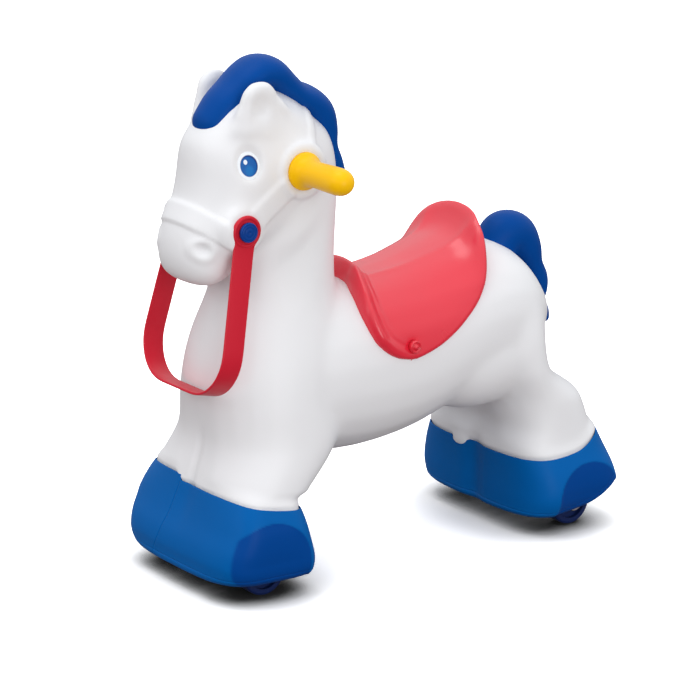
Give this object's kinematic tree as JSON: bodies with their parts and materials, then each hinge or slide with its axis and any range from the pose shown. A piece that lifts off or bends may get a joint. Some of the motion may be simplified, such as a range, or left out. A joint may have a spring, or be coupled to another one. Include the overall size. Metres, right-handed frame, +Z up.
{
  "type": "ride-on rocking horse",
  "caption": "Moulded ride-on toy horse on two wheeled shoes, with a saddle, a cross handle with hand grips and a swinging rein loop.",
  "frame": {"origin": "on the ground, below the middle of the whole object's box", "axes": "-X is where the horse looks, -Y its left side, +Z up; the wheels stand on Z = 0"},
  "size_m": [0.5157, 0.274, 0.5426],
  "materials": {
    "body_shell": "satin white blow-moulded shell",
    "hair": "satin blue",
    "saddle": "glossy red",
    "saddle_studs": "glossy red",
    "eye_label": "printed label, white with a blue eye",
    "steel_bar": "plain steel bar",
    "grips": "satin yellow",
    "rein": "satin red strap",
    "rein_studs": "blue",
    "shoes": "satin blue",
    "brackets": "black",
    "axles": "plain steel",
    "axle_caps": "pressed steel",
    "wheels": "dark blue",
    "screws": "zinc-plated steel"
  },
  "bodies": {
    "horse": {"horse_body": "body_shell", "mane": "hair", "tail": "hair", "saddle": "saddle", "saddle_stud_left": "saddle_studs", "saddle_stud_right": "saddle_studs", "left_eye": "eye_label", "right_eye": "eye_label", "handle_bar": "steel_bar", "left_grip": "grips", "right_grip": "grips", "left_rein_stud": "rein_studs", "right_rein_stud": "rein_studs", "front_shoe": "shoes", "rear_shoe": "shoes", "front_left_bracket": "brackets", "front_right_bracket": "brackets", "rear_left_bracket": "brackets", "rear_right_bracket": "brackets", "front_axle": "axles", "rear_axle": "axles", "front_axle_caps": "axle_caps", "rear_axle_caps": "axle_caps", "front_shoe_screws": "screws", "rear_shoe_screws": "screws"},
    "rein": {"rein_strap": "rein"},
    "front_left_wheel": {"front_left_wheel": "wheels"},
    "front_right_wheel": {"front_right_wheel": "wheels"},
    "rear_left_wheel": {"rear_left_wheel": "wheels"},
    "rear_right_wheel": {"rear_right_wheel": "wheels"}
  },
  "joints": [
    {"name": "rein_swing", "type": "hinge", "parent": "horse", "child": "rein", "pos_m": [-0.202, 0, 0.378], "axis": [0, 1, 0], "range_deg": [0, 150]},
    {"name": "front_left_wheel_spin", "type": "hinge", "parent": "horse", "child": "front_left_wheel", "pos_m": [-0.197, -0.071, 0.025], "axis": [0, 1, 0], "continuous": true},
    {"name": "front_right_wheel_spin", "type": "hinge", "parent": "horse", "child": "front_right_wheel", "pos_m": [-0.197, 0.071, 0.025], "axis": [0, 1, 0], "continuous": true},
    {"name": "rear_left_wheel_spin", "type": "hinge", "parent": "horse", "child": "rear_left_wheel", "pos_m": [0.203, -0.071, 0.025], "axis": [0, 1, 0], "continuous": true},
    {"name": "rear_right_wheel_spin", "type": "hinge", "parent": "horse", "child": "rear_right_wheel", "pos_m": [0.203, 0.071, 0.025], "axis": [0, 1, 0], "continuous": true}
  ]
}
